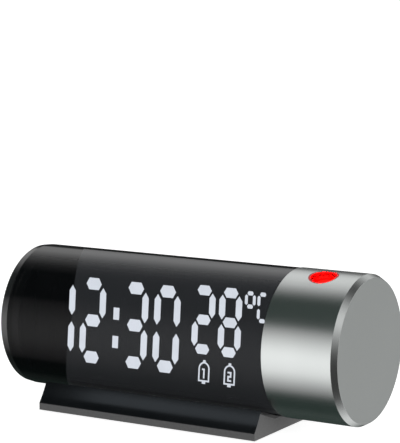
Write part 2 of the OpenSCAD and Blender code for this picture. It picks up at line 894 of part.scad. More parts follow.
module board_screws() {
    color([0.6, 0.6, 0.62]) at_axis() {
        for (p = board_posts)
            translate([p[0], p[1], board_z + board_t + seat]) {
                translate([0, 0, -board_t - seat - board_screw_l])
                    cylinder(h = board_screw_l + board_t + seat + cut / 2, r = screw_r);
                cylinder(h = head_t, r = head_r);
            }
        for (x = button_posts)
            translate([x, 0, button_z]) {
                depth_rod(button_board_y - board_t - cut, button_board_y + button_screw_l, screw_r);
                depth_rod(button_board_y - board_t - seat - head_t, button_board_y - board_t - seat, head_r);
            }
    }
}

// ---------------------------------------------------------------- battery

module battery_tray() {
    half_w = door_w / 2 + tray_wall;
    half_h = door_h / 2 + tray_wall;
    color([0.09, 0.09, 0.1]) at_axis() translate([door_x, 0, 0]) difference() {
        block([-half_w, half_w], [panel_in - tray_depth, panel_in - seat], [-half_h, half_h]);
        depth_rod(panel_in - tray_depth + tray_wall, panel_in + cut, cell_r + part_gap);
        for (s = [-1, 1])
            translate([s * cell_r, 0, 0])
                depth_rod(panel_in - tray_depth + tray_wall + 1, panel_in + cut, 2.2);
    }
}

module battery_contacts() {
    y0 = panel_in - tray_depth + tray_wall + seat;
    color([0.8, 0.8, 0.7]) at_axis() translate([door_x, 0, 0]) {
        block([-6, 6], [y0, y0 + contact_t], [-2, 2]);
        depth_rod(y0, y0 + contact_t + contact_h, 2);
    }
}

module coin_cell() {
    y0 = panel_in - tray_depth + tray_wall + contact_t + contact_h + 2 * seat;
    color([0.8, 0.8, 0.82]) at_axis() translate([door_x, 0, 0]) {
        depth_rod(y0, y0 + cell_t, cell_r - 1.4);
        depth_rod(y0 + cell_step, y0 + cell_t, cell_r);
    }
}

// Door over the battery, with a finger slot in its lower edge
module battery_door() {
    g = slide_gap + seat;
    color([0.1, 0.1, 0.11]) at_axis() translate([door_x, 0, 0]) difference() {
        block([g - door_w / 2, door_w / 2 - g], [panel_y - door_t, panel_y],
            [g - door_h / 2, door_h / 2 - g]);
        block([-finger_slot[0] / 2, finger_slot[0] / 2], [panel_y - door_t / 2, panel_y + cut],
            [-door_h / 2 - cut, finger_slot[1] - door_h / 2]);
    }
}

// ---------------------------------------------------------------- base

lip_top = [-base_depth / 2, base_z + lip_h];
crease_at = (body_r + crease_gap) * facing(-crease_angle);
// The base's top slopes down from the crease until it touches the cylinder
touch_angle = crease_angle + acos(body_r / (body_r + crease_gap));
touch_at = body_r * facing(-touch_angle);
flank = crease_at - lip_top;
flank_n = [-flank[1], flank[0]] / norm(flank);
flank_centre = (crease_at + lip_top) / 2 + flank_n * sqrt(flank_r * flank_r - norm(flank) * norm(flank) / 4);

// Outline of the base's front half
module base_outline() {
    difference() {
        polygon([[0, base_z], [-base_depth / 2, base_z], lip_top + [0, cut],
            crease_at + cut * facing(90 - touch_angle), touch_at, [0, touch_at[1]]]);
        translate(flank_centre) circle(flank_r, $fn = 240);
    }
}

module base_hollow() {
    below_crease = (body_r + base_wall) * facing(-touch_angle)
        + (norm(crease_at - touch_at) - base_corner) * facing(90 - touch_angle);
    below_touch = (body_r + base_wall / 2) * facing(-touch_angle);
    polygon([[0, base_z - cut], [base_wall - base_depth / 2, base_z - cut],
        [base_wall - base_depth / 2, lip_top[1] - base_wall / 2], below_crease, below_touch,
        [0, below_touch[1]]]);
}

module base_cradle() {
    color([0.1, 0.1, 0.11]) at_axis() difference() {
        union() {
            difference() {
                along(base_x0, base_x1) both_sides() base_outline();
                along(base_x0 + base_wall, base_x1 - base_wall) difference() {
                    both_sides() base_hollow();
                    circle(body_r + base_wall);
                }
            }
            intersection() {
                base_screw_places() translate([0, 0, cavity_z + seat])
                    cylinder(h = base_boss_l, r = base_boss_r);
                along(base_x0, base_x1) both_sides() base_outline();
            }
        }
        rod(base_x0 - cut, base_x1 + cut, body_r + seat);
        base_screw_places() translate([0, 0, base_z - cut])
            cylinder(h = cut + base_screw_l + pilot_spare / 2, r = pilot_r);
        cradle_screw_places() translate([0, 0, base_z])
            cylinder(h = base_drop + cut, r = cradle_screw_r + seat);
    }
}

// A section and its mirror image behind the axis
module both_sides() {
    children();
    mirror([1, 0]) children();
}

// Four places, this far from the base's ends and from its front and rear
module base_corners(end_inset, edge_inset) {
    for (x = [base_x0 + end_inset, base_x1 - end_inset], side = [-1, 1])
        translate([x, side * (base_depth / 2 - edge_inset), 0]) children();
}

module base_screw_places() {
    base_corners(base_screw_end_inset, base_screw_edge_inset) children();
}

module foot_places() {
    base_corners(foot_end_inset, foot_edge_inset) children();
}

module base_plate() {
    g = base_wall + seat;
    color([0.1, 0.1, 0.11]) at_axis() difference() {
        block([base_x0 + g, base_x1 - g], [g - base_depth / 2, base_depth / 2 - g], [base_z, cavity_z]);
        foot_places() translate([0, 0, base_z - cut])
            cylinder(h = cut + foot_t - foot_proud, r = foot_r + seat);
        base_screw_places() translate([0, 0, base_z - cut]) {
            cylinder(h = base_wall + 2 * cut, r = screw_r + seat);
            cylinder(h = cut + base_wall / 2, r = head_r + 2 * seat);
        }
    }
}

module rubber_feet() {
    color([0.04, 0.04, 0.04]) at_axis() foot_places()
        translate([0, 0, base_z - foot_proud]) cylinder(h = foot_t - seat, r = foot_r);
}

module plate_screws() {
    color([0.6, 0.6, 0.62]) at_axis() base_screw_places() translate([0, 0, base_z + 2 * seat]) {
        cylinder(h = base_wall / 2 - 3 * seat, r = head_r);
        cylinder(h = base_screw_l, r = screw_r);
    }
}

// Screws from inside the base into the rear shell
module cradle_screws() {
    color([0.6, 0.6, 0.62]) at_axis() cradle_screw_places()
        translate([0, 0, -body_r - base_wall - seat - head_t]) {
            cylinder(h = head_t, r = cradle_head_r);
            cylinder(h = head_t + cradle_screw_l, r = cradle_screw_r);
        }
}

// ---------------------------------------------------------------- drum

// Metal sleeve with a bevelled end, a ledge for the disc and the lens opening
module drum_sleeve() {
    ledge_x = drum_x1 - disc_t - 0.1;
    color([0.72, 0.74, 0.73]) difference() {
        at_axis() turned() polygon([[sleeve_bore_r, drum_x0], [drum_r, drum_x0], [drum_r, drum_x1 - bevel_l],
            [drum_r - bevel_h, drum_x1], [disc_r + seat, drum_x1], [disc_r + seat, ledge_x],
            [disc_r - ledge_w, ledge_x], [disc_r - ledge_w, ledge_x - ledge_t],
            [sleeve_bore_r, ledge_x - ledge_t]]);
        lens_frame() cylinder(h = drum_d, r = lens_hole_r);
    }
}

module drum_end_disc() {
    color([0.56, 0.58, 0.57]) at_axis() rod(drum_x1 - disc_t - 0.05, drum_x1 - 0.05, disc_r);
}

// Carrier: the disc that closes the drum, its rim and the hollow pivot shaft
module drum_carrier() {
    color([0.08, 0.08, 0.09]) at_axis() difference() {
        union() {
            turned() polygon([[shaft_bore_r, shaft_x0], [shaft_r, shaft_x0], [shaft_r, clip_x0 - seat],
                [shaft_r - groove_depth, clip_x0 - seat], [shaft_r - groove_depth, clip_x0 + clip_t + seat],
                [shaft_r, clip_x0 + clip_t + seat], [shaft_r, drum_x0], [carrier_r, drum_x0],
                [carrier_r, drum_x0 + carrier_t + carrier_rim_l],
                [carrier_r - carrier_rim, drum_x0 + carrier_t + carrier_rim_l],
                [carrier_r - carrier_rim, drum_x0 + carrier_t], [shaft_bore_r, drum_x0 + carrier_t]]);
            carrier_places() rod(drum_x0 + cut, lens_x - house_half - seat, 3);
        }
        carrier_places() {
            rod(drum_x0 - cut, lens_x, screw_r + seat);
            rod(drum_x0 - cut, drum_x0 + head_t + 0.2, head_r + 0.2);
        }
    }
}

// Where the projector housing is screwed to the carrier
module carrier_places() {
    rotate([lens_tilt, 0, 0]) house_screw_places() children();
}

module house_screw_places() {
    for (y = [-house_screw_y, house_screw_y], z = [house_z0 + house_screw_edge, house_z1 - house_screw_edge])
        translate([0, y, z]) children();
}

module carrier_screws() {
    color([0.6, 0.6, 0.62]) at_axis() carrier_places() {
        rod(drum_x0 + 2 * seat, drum_x0 + 2 * seat + head_t, head_r);
        rod(drum_x0 + 2 * seat, lens_x - house_half + house_screw_grip, screw_r);
    }
}

// Snap ring that keeps the shaft in the bush
module retaining_clip() {
    color([0.5, 0.5, 0.52]) at_axis() along(clip_x0, clip_x0 + clip_t) difference() {
        ring(hub_r - 0.6, shaft_r - groove_depth + seat);
        translate([0, -2.5]) square([hub_r, 5]);
    }
}

// ---------------------------------------------------------------- projector

// Housing: a square light tunnel with two ledges, and the tube that guides the barrel
module projector_housing() {
    inner = house_half - house_wall;
    color([0.06, 0.06, 0.07]) lens_frame() difference() {
        union() {
            block([-house_half, house_half], [-house_half, house_half], [house_z0, house_z1]);
            translate([0, 0, house_z1 - cut]) cylinder(h = tube_z1 - house_z1 + cut, r = tube_r);
            translate([0, 0, tube_z1 - 2]) cylinder(h = 2, r = bezel_r);
        }
        block([-inner, inner], [-inner, inner], [house_z0 - cut, condenser_z - house_wall]);
        translate([0, 0, house_z0]) cylinder(h = house_z1 - house_z0 - house_wall, r = condenser_r - 1);
        block([-inner, inner], [-inner, inner], [condenser_z, lcd_z - house_wall]);
        block([-inner, inner], [-inner, inner], [lcd_z, house_z1 - house_wall]);
        translate([0, 0, house_z1 - house_wall - cut]) cylinder(h = tube_z1, r = barrel_r + barrel_play);
        block([0, barrel_r + 1.3], [-key_w / 2 - seat, key_w / 2 + seat],
            [house_z1 - house_wall - cut, house_z1 + 6]);
        block([-house_half - cut, 0], [-2.4, 2.4], [-16, -13.6]);
        house_screw_places() rod(-house_half - cut, house_wall - house_half, screw_r + seat);
    }
}

// Finned block that cools the lamp
module lamp_heatsink() {
    s = heatsink_side / 2;
    color([0.75, 0.76, 0.78]) lens_frame() {
        block([-s, s], [-s, s], [house_z0 - heatsink_t, house_z0 - seat]);
        for (i = [0:FINS - 1])
            translate([i * (2 * s - fin_t) / (FINS - 1) - s, 0, 0])
                block([0, fin_t], [1 - s, s - 1], [house_z0 - heatsink_t - fin_h, house_z0 - heatsink_t / 2]);
    }
}

module lamp_board() {
    s = lamp_board_side / 2;
    color([0.9, 0.9, 0.88]) lens_frame()
        block([-s, s], [-s, s], [house_z0 + seat, house_z0 + seat + lamp_board_t]);
}

module lamp_led() {
    s = lamp_side / 2;
    z = house_z0 + lamp_board_t + 2 * seat;
    color([0.8, 0.1, 0.08]) lens_frame() {
        block([-s, s], [-s, s], [z, z + lamp_t]);
        intersection() {
            translate([0, 0, z + lamp_t / 2]) sphere(r = lamp_dome_r);
            translate([0, 0, z + lamp_t - 0.2]) cylinder(h = lamp_dome_r + cut, r = s);
        }
    }
}

// Plano-convex lens that gathers the lamp's light onto the image
module condenser_lens() {
    color([0.8, 0.9, 1, 0.4]) lens_frame() intersection() {
        translate([0, 0, condenser_z + seat]) cylinder(h = condenser_t + 1, r = condenser_r);
        translate([0, 0, condenser_z + condenser_t - condenser_bulge]) sphere(r = condenser_bulge);
    }
}

// Small transparent cell that shows the time to be projected
module lcd_cell() {
    s = house_half - house_wall - 0.1;
    color([0.3, 0.32, 0.3]) lens_frame() block([-s, s], [-s + 1, s - 1], [lcd_z + seat, lcd_z + lcd_t]);
}

// Bezel that fills the opening in the sleeve and keeps the focus ring in place
module lens_bezel() {
    color([0.04, 0.04, 0.04]) difference() {
        intersection() {
            lens_frame() union() {
                translate([0, 0, tube_z1 + seat]) cylinder(h = bezel_flange_t, r = bezel_r);
                translate([0, 0, tube_z1 + seat]) cylinder(h = drum_r, r = lens_hole_r - seat);
            }
            at_axis() rod(drum_x0, drum_x1, drum_r - 0.1);
        }
        lens_frame() translate([0, 0, tube_z1 - cut]) {
            cylinder(h = cut + ring_flange_t + 2 * seat + 0.05, r = ring_flange_r + slide_gap);
            cylinder(h = drum_r, r = ring_r + slide_gap);
        }
    }
}

// Leads from the lamp and the cell, through the hollow shaft into the cylinder
module projector_lead() {
    color([0.75, 0.1, 0.08]) at_axis() rod(shaft_x0 - 4, lens_x - house_half - seat, lead_r);
}

// Ring under a fingertip: turning it moves the barrel in or out
module focus_ring() {
    color([0.05, 0.05, 0.05]) lens_frame() difference() {
        union() {
            translate([0, 0, ring_z0]) cylinder(h = ring_flange_t, r = ring_flange_r);
            translate([0, 0, ring_z0]) cylinder(h = ring_z1 - ring_z0, r = ring_r);
        }
        translate([0, 0, ring_z0 - cut]) cylinder(h = drum_r, r = barrel_r + barrel_play);
        for (i = [0:11])
            rotate(30 * i) block([barrel_r - cut, drum_r], [-0.35, 0.35], [ring_z1 - 0.6, drum_r]);
    }
}

module lens_barrel() {
    z0 = barrel_z0;
    r = barrel_r - barrel_wall;
    color([0.1, 0.1, 0.11]) lens_frame() {
        difference() {
            translate([0, 0, z0]) cylinder(h = barrel_l, r = barrel_r);
            translate([0, 0, z0 - cut]) cylinder(h = barrel_l + 2 * cut, r = r - 0.6);
            translate([0, 0, z0 + barrel_l - 4.5]) cylinder(h = 5, r = r);
            translate([0, 0, z0 - cut]) cylinder(h = 3.5 + cut, r = r);
        }
        block([barrel_r - 0.5, barrel_r + 1], [-key_w / 2, key_w / 2],
            [z0 + focus_travel + 1.5, z0 + focus_travel + 3.5]);
    }
}

// A lens bulging on both faces
module round_lens(r, t, bulge) {
    intersection() {
        cylinder(h = t, r = r);
        translate([0, 0, t - bulge]) sphere(r = bulge);
        translate([0, 0, bulge]) sphere(r = bulge);
    }
}

module relay_lens() {
    color([0.8, 0.9, 1, 0.4]) lens_frame() translate([0, 0, barrel_z0 + 0.4])
        round_lens(barrel_r - barrel_wall - seat, 3, 9);
}

module objective_lens() {
    color([0.8, 0.9, 1, 0.4]) lens_frame() translate([0, 0, barrel_z0 + barrel_l - 4.4])
        round_lens(barrel_r - barrel_wall - seat, 3.4, 7);
}

// ---------------------------------------------------------------- buttons

// Push button: a cap with a slightly domed face on a flange behind the panel
module button(i) {
    flange_y = panel_in - seat - flange_t;
    color([0.14, 0.14, 0.15]) at_axis() translate([button_x0 + i * button_pitch, 0, button_z]) {
        intersection() {
            depth_rod(flange_y + 0.1, panel_y + button_proud, button_r);
            translate([0, panel_y + button_proud - button_dome_r, 0]) sphere(r = button_dome_r);
        }
        depth_rod(flange_y, flange_y + flange_t, button_r + flange_w);
    }
}

front_cover();
rear_shell();
left_end_cap();
right_end_plate();
pivot_bush();
friction_washer();
display_frame();
lit_segments();
dark_segments();
lit_icons();
display_board();
segment_leds();
touch_electrode();
main_board();
board_parts();
display_ribbon();
button_board();
tact_switches();
usb_output_socket();
power_inlet();
battery_tray();
battery_contacts();
coin_cell();
battery_door();
speaker();
temperature_sensor();
base_cradle();
base_plate();
rubber_feet();
cradle_screws();
plate_screws();
board_screws();
end_plate_screws();
drum_sleeve();
drum_end_disc();
drum_carrier();
retaining_clip();
carrier_screws();
projector_housing();
lamp_heatsink();
lamp_board();
lamp_led();
condenser_lens();
lcd_cell();
lens_bezel();
projector_lead();
focus_ring();
lens_barrel();
relay_lens();
objective_lens();
button(0);  // set_button
button(1);  // up_button
button(2);  // down_button
button(3);  // alarm_one_button
button(4);  // alarm_two_button
button(5);  // projection_button
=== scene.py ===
"""Looks of the projection alarm clock: materials for the CAD nodes, the signs on
its rear buttons, the floor, the studio light and the camera. Lengths are in metres."""

import json
import math

import bmesh
import bpy
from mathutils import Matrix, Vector


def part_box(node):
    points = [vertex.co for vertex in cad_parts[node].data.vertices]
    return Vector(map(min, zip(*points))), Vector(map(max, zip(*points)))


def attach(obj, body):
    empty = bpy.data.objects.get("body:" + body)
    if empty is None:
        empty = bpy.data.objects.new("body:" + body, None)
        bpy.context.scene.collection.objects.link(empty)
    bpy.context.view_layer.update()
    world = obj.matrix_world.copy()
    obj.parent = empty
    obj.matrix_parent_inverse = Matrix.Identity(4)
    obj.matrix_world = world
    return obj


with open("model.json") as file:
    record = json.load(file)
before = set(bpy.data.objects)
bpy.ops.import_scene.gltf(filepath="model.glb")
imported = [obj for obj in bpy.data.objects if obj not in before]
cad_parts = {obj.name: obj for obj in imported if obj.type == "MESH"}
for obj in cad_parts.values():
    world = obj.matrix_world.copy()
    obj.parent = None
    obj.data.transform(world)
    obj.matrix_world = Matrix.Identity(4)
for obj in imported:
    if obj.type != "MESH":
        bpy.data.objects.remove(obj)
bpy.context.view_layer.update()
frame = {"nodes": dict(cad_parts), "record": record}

# Height of the cylinder's axis, and the cylinder's radius
AXIS_Z = 0.0384
BODY_R = 0.032
# Noise levels between which a grain and a smear run from their low to their high value
GRAIN = (0.3, 0.7)
SMEAR = (0.35, 0.7)
# How far a grain's roughness goes below and above its middle
GRAIN_LOW = 0.85
GRAIN_HIGH = 1.15
scene = bpy.context.scene


# ------------------------------------------------------------------ node helpers


class Graph:
    """A node tree and short calls that add nodes to it."""

    def __init__(self, tree):
        self.tree = tree
        tree.nodes.clear()

    def add(self, kind, values=None, **settings):
        """A new node. A value is a number, a colour, or another node's output socket."""
        node = self.tree.nodes.new(kind)
        for name, value in settings.items():
            setattr(node, name, value)
        for name, value in (values or {}).items():
            self.feed(node.inputs[name], value)
        return node

    def feed(self, socket, value):
        """Links another node's output to the socket, or sets the socket's own value."""
        if isinstance(value, bpy.types.NodeSocket):
            self.tree.links.new(value, socket)
        else:
            socket.default_value = value

    def math(self, operation, *values):
        node = self.add("ShaderNodeMath", operation=operation)
        for socket, value in zip(node.inputs, values):
            self.feed(socket, value)
        return node.outputs[0]

    def ramp(self, factor, stops):
        """A colour ramp with (position, colour) stops; a plain number is a grey."""
        node = self.add("ShaderNodeValToRGB", {"Fac": factor})
        elements = node.color_ramp.elements
        while len(elements) < len(stops):
            elements.new(0.5)
        for element, (position, colour) in zip(elements, stops):
            element.position = position
            element.color = rgba(colour)
        return node.outputs["Color"]

    def tones(self, factor, low, high, between=GRAIN):
        """A colour that runs from low to high as factor goes between two levels."""
        return self.ramp(factor, [(between[0], low), (between[1], high)])

    def mix(self, factor, low, high):
        """The colour low where factor is 0, and high where it is 1."""
        node = self.add("ShaderNodeMix", {"Factor": factor, "A": low, "B": high}, data_type="RGBA")
        return node.outputs["Result"]

    def span(self, value, low, high, to_low=0.0, to_high=1.0, smooth=False):
        """value from low to high, spread from to_low to to_high and held there."""
        node = self.add(
            "ShaderNodeMapRange",
            {
                "Value": value,
                "From Min": low,
                "From Max": high,
                "To Min": to_low,
                "To Max": to_high,
            },
            interpolation_type="SMOOTHSTEP" if smooth else "LINEAR",
        )
        return node.outputs["Result"]

    def coordinates(self):
        """The object's own coordinates."""
        return self.add("ShaderNodeTexCoord").outputs["Object"]

    def noise(self, scale, detail=2.0, stretch=(1, 1, 1), vector=None):
        """Fine noise on the object's own coordinates, with stretch along each axis."""
        if vector is None:
            vector = self.coordinates()
        mapped = self.add("ShaderNodeMapping", {"Vector": vector, "Scale": stretch})
        texture = self.add(
            "ShaderNodeTexNoise",
            {"Vector": mapped.outputs["Vector"], "Scale": scale, "Detail": detail},
        )
        return texture.outputs["Fac"]

    def bump(self, height, strength, distance):
        node = self.add(
            "ShaderNodeBump", {"Height": height, "Strength": strength, "Distance": distance}
        )
        return node.outputs["Normal"]

    def mix_shader(self, factor, low, high):
        """The shader low where factor is 0, and high where it is 1."""
        return self.add("ShaderNodeMixShader", {0: factor, 1: low, 2: high}).outputs["Shader"]

    def add_glow(self, shader, colour, strength):
        """The shader with its own light on top."""
        glow = self.add("ShaderNodeEmission", {"Color": rgba(colour), "Strength": strength})
        both = self.add("ShaderNodeAddShader", {0: shader, 1: glow.outputs["Emission"]})
        return both.outputs["Shader"]

    def finish(self, shader):
        """Takes the shader's output to the material's surface."""
        self.add("ShaderNodeOutputMaterial", {"Surface": shader})

    def principled(self, values):
        """Takes a Principled shader with these values to the material's surface."""
        self.finish(self.add("ShaderNodeBsdfPrincipled", values).outputs["BSDF"])


def rgba(colour):
    if isinstance(colour, (int, float)):
        return (colour, colour, colour, 1.0)
    return (*colour[:3], 1.0)


def new_material(name):
    material = bpy.data.materials.new(name)
    material.use_nodes = True
    return material, Graph(material.node_tree)


def shade(colour, factor):
    return tuple(min(1.0, channel * factor) for channel in colour)


# ------------------------------------------------------------------ plain finishes


def moulded(name, colour, rough=0.45, specular=0.5):
    """Moulded plastic or rubber: a fine spark-eroded grain and a little mottling."""
    mottle = 0.12
    material, g = new_material(name)
    broad = g.noise(60.0)
    fine = g.noise(900.0, 3.0)
    g.principled(
        {
            "Base Color": g.tones(broad, shade(colour, 1 - mottle), shade(colour, 1 + mottle)),
            "Roughness": g.span(fine, *GRAIN, rough * GRAIN_LOW, min(1.0, rough * GRAIN_HIGH)),
            "Specular IOR Level": specular,
            "Normal": g.bump(fine, 0.35, 0.00002),
        }
    )
    return material


def metal(name, colour, rough=0.3, stretch=(1, 1, 1)):
    """Bare or plated metal with a fine drawn or turned grain."""
    material, g = new_material(name)
    fine = g.noise(500.0, 4.0, stretch)
    broad = g.noise(35.0)
    g.principled(
        {
            "Base Color": g.tones(broad, shade(colour, 0.93), shade(colour, 1.05)),
            "Metallic": 1.0,
            "Roughness": g.span(fine, *GRAIN, rough * GRAIN_LOW, rough * GRAIN_HIGH),
            "Normal": g.bump(fine, 0.3, 0.000004),
        }
    )
    return material


def circuit_board(name, mask, copper):
    """Solder mask with the faint raised lines of the tracks under it."""
    material, g = new_material(name)
    cells = g.add(
        "ShaderNodeTexVoronoi",
        {"Vector": g.coordinates(), "Scale": 330.0},
        feature="DISTANCE_TO_EDGE",
        distance="MANHATTAN",
    )
    track = g.span(cells.outputs["Distance"], 0.05, 0.09, 1.0, 0.0)
    g.principled(
        {
            "Base Color": g.mix(track, rgba(mask), rgba(copper)),
            "Roughness": g.span(g.noise(700.0), *GRAIN, 0.28, 0.4),
            "Normal": g.bump(track, 0.4, 0.00003),
        }
    )
    return material


def clear_glass(name, tint, rough=0.02):
    """A small clear or tinted glass lens, a little rougher where its noise is high."""
    material, g = new_material(name)
    film = g.noise(120.0)
    glass = g.add(
        "ShaderNodeBsdfGlass",
        {"Color": rgba(tint), "Roughness": g.span(film, *GRAIN, rough, rough * 2.5), "IOR": 1.5},
    )
    g.finish(glass.outputs["BSDF"])
    return material


def glowing(name, colour, strength, edge=0.75):
    """A lit light guide or lamp, or a painted glow: bright, and a little dimmer where the noise is
    low.
    """
    material, g = new_material(name)
    cloud = g.noise(160.0)
    g.principled(
        {
            "Base Color": rgba(shade(colour, 0.3)),
            "Roughness": 0.35,
            "Emission Color": g.tones(cloud, shade(colour, edge), colour, (0.25, 0.6)),
            "Emission Strength": strength,
        }
    )
    return material


# ------------------------------------------------------------------ main finishes


def place_on_clock(g):
    """x along the clock, y, and the height above the axis, as sockets."""
    where = g.add("ShaderNodeSeparateXYZ", {"Vector": g.coordinates()})
    height = g.math("SUBTRACT", where.outputs["Z"], AXIS_Z)
    return where.outputs["X"], where.outputs["Y"], height


# The satin film over the display: its left edge, how far that bows, and its top
FILM_X = -0.0456
FILM_MIDDLE = math.radians(12.0)
FILM_BOW = 0.0091
FILM_BOW_POWER = 1.5
FILM_EDGE = 0.0002
FILM_TOP = math.radians(87.0)
FILM_FADE = 0.01
# How much of the view the film and the polished part veil, and with what grey
FILM_GREY = (0.44, 0.49, 0.57)
FILM_COVER = 0.032
HAZE_COVER = 0.006
FILM_ROUGH = 0.26
# A painted glow that lifts the shade of the film and of the polished part: its tone, and its
# strength in each
PAINTED_GLOW_TONE = (0.9, 0.94, 1.0)
FILM_PAINTED_GLOW = 0.0095
CLEAR_PAINTED_GLOW = 0.0005
# The clear window's half height, its soft edge, and the smoke of one face
WINDOW_HALF = 0.0285
WINDOW_FADE = 0.0008
SMOKE = 0.5
# Depths under the outside between which the cover's outer face ends
SKIN_IN = 0.0013
SKIN_OUT = 0.0007
COVER_IOR = 1.26
# How much more the top mirrors, from a face seen head-on to one seen from its edge
GRAZING = [
    (0.35, 0.0),
    (0.46, 0.55),
    (0.56, 0.97),
    (0.63, 0.97),
    (0.7, 0.72),
    (0.78, 0.38),
    (1.0, 0.3),
]


def smoked_cover():
    """Smoked clear plastic, polished at the left and satin over the display. Only the
    outer face reflects, as its wall is too thin for a second image to stand apart."""
    material, g = new_material("smoked_cover")
    x, y, height = place_on_clock(g)
    # the satin film's left edge, bowed away from the display's middle height
    turn = g.math("ARCTAN2", height, g.math("MULTIPLY", y, -1.0))
    off_middle = g.math("ABSOLUTE", g.math("SUBTRACT", turn, FILM_MIDDLE))
    bow = g.math("POWER", off_middle, FILM_BOW_POWER)
    edge = g.math("SUBTRACT", FILM_X, g.math("MULTIPLY", bow, FILM_BOW))
    film = g.math(
        "MULTIPLY",
        g.span(g.math("SUBTRACT", x, edge), -FILM_EDGE, FILM_EDGE),
        g.span(turn, FILM_TOP - FILM_FADE, FILM_TOP, 1.0, 0.0),
    )
    radius = g.math("SQRT", g.math("ADD", g.math("POWER", y, 2.0), g.math("POWER", height, 2.0)))
    outer = g.span(radius, BODY_R - SKIN_IN, BODY_R - SKIN_OUT)
    # the top and the underside are painted black inside, so only the window is clear
    off_axis = g.math("ABSOLUTE", height)
    window = g.span(off_axis, WINDOW_HALF, WINDOW_HALF + WINDOW_FADE, SMOKE, 0.0)
    through = g.add("ShaderNodeBsdfTransparent", {"Color": window})
    grey = g.add("ShaderNodeBsdfDiffuse", {"Color": rgba(FILM_GREY)})
    veil = g.math("MULTIPLY", outer, g.span(film, 0.0, 1.0, HAZE_COVER, FILM_COVER))
    haze = g.mix_shader(veil, through.outputs["BSDF"], grey.outputs["BSDF"])
    smudge = g.noise(45.0, 3.0)
    film_rough = g.math("MULTIPLY", film, FILM_ROUGH)
    rough = g.math("ADD", g.span(smudge, *SMEAR, 0.03, 0.06), film_rough)
    gloss = g.add("ShaderNodeBsdfAnisotropic", {"Color": rgba(1.0), "Roughness": rough})
    fresnel = g.add("ShaderNodeFresnel", {"IOR": COVER_IOR}).outputs["Fac"]
    facing = g.add("ShaderNodeLayerWeight", {"Blend": 0.5}).outputs["Facing"]
    # the satin top mirrors a little more of the softbox over it than the polished top
    grazing = g.math("MULTIPLY", g.ramp(facing, GRAZING), g.span(film, 0.0, 1.0, 0.8, 1.0))
    lift = g.math("MULTIPLY", grazing, g.span(height, 0.0, 0.01))
    mirror = g.math("MULTIPLY_ADD", fresnel, lift, fresnel)
    shader = g.mix_shader(g.math("MULTIPLY", mirror, outer), haze, gloss.outputs["BSDF"])
    # painted light: an even faint glow in the film, and a fainter one in the polished part, lifts
    # the shade that the base casts on the cylinder's underside
    glow = g.math("MULTIPLY", outer, g.span(film, 0.0, 1.0, CLEAR_PAINTED_GLOW, FILM_PAINTED_GLOW))
    g.finish(g.add_glow(shader, PAINTED_GLOW_TONE, glow))
    return material


def gloss_black(name, colour, rough, specular):
    """Polished black moulding with faint smears in its gloss."""
    material, g = new_material(name)
    smudge = g.noise(40.0, 3.0)
    g.principled(
        {
            "Base Color": g.tones(smudge, shade(colour, 0.85), shade(colour, 1.2), (0.3, 0.75)),
            "Roughness": g.span(smudge, *SMEAR, rough, rough * 1.6),
            "Specular IOR Level": specular,
            "Normal": g.bump(g.noise(1500.0), 0.05, 0.00001),
        }
    )
    return material


# Turned lines along a metre of the drum, and round it for each radian
DRUM_LINES = 9000.0
DRUM_ROUND = 1.5


def turned_drum():
    """Satin turned metal: grain runs round the drum's axis."""
    material, g = new_material("drum_metal")
    x, y, height = place_on_clock(g)
    turn = g.math("ARCTAN2", height, y)
    round_grain = g.add(
        "ShaderNodeCombineXYZ",
        {
            "X": g.math("MULTIPLY", x, DRUM_LINES),
            "Y": g.math("MULTIPLY", turn, DRUM_ROUND),
            "Z": 0.0,
        },
    ).outputs["Vector"]
    line = g.noise(1.0, 3.0, vector=round_grain)
    broad = g.noise(30.0)
    g.principled(
        {
            "Base Color": g.tones(broad, (0.69, 0.715, 0.705), (0.735, 0.76, 0.75)),
            "Metallic": 1.0,
            "Roughness": g.span(line, *GRAIN, 0.26, 0.27),
            "Normal": g.bump(line, 0.006, 0.000003),
        }
    )
    return material


def painted_disc():
    """Plain satin grey of the drum's end, with a fine sprayed grain."""
    material, g = new_material("disc_metal")
    grain = g.noise(2200.0, 2.0)
    broad = g.noise(25.0)
    g.principled(
        {
            "Base Color": g.tones(broad, (0.41, 0.43, 0.422), (0.42, 0.44, 0.432)),
            "Metallic": 0.25,
            "Roughness": g.span(grain, *GRAIN, 0.5, 0.6),
            "Specular IOR Level": 0.3,
            "Normal": g.bump(grain, 0.1, 0.00001),
        }
    )
    return material


# The base's middle and half length along the clock
base_low, base_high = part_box("base_cradle")
BASE_MIDDLE = (base_low[0] + base_high[0]) / 2
BASE_HALF = (base_high[0] - base_low[0]) / 2
# Its crease, its sloping top and where that ends, and the top of its lip
BASE_CREASE_Y = 0.0229
BASE_CREASE_Z = 0.0125
BASE_SLOPE = 0.351
BASE_TOP = 0.00815
BASE_LIP = 0.0040
# Painted shade: the polished black strip under the top of each end, which stands for the shade
# under the cylinder
BASE_SHADE_STRIP = 0.0014
# Soft edges of the painted shade strip, and of an end's and the lip's grain
SHADE_STRIP_EDGE = 0.0001
END_EDGE = 0.00005
LIP_EDGE = 0.0002


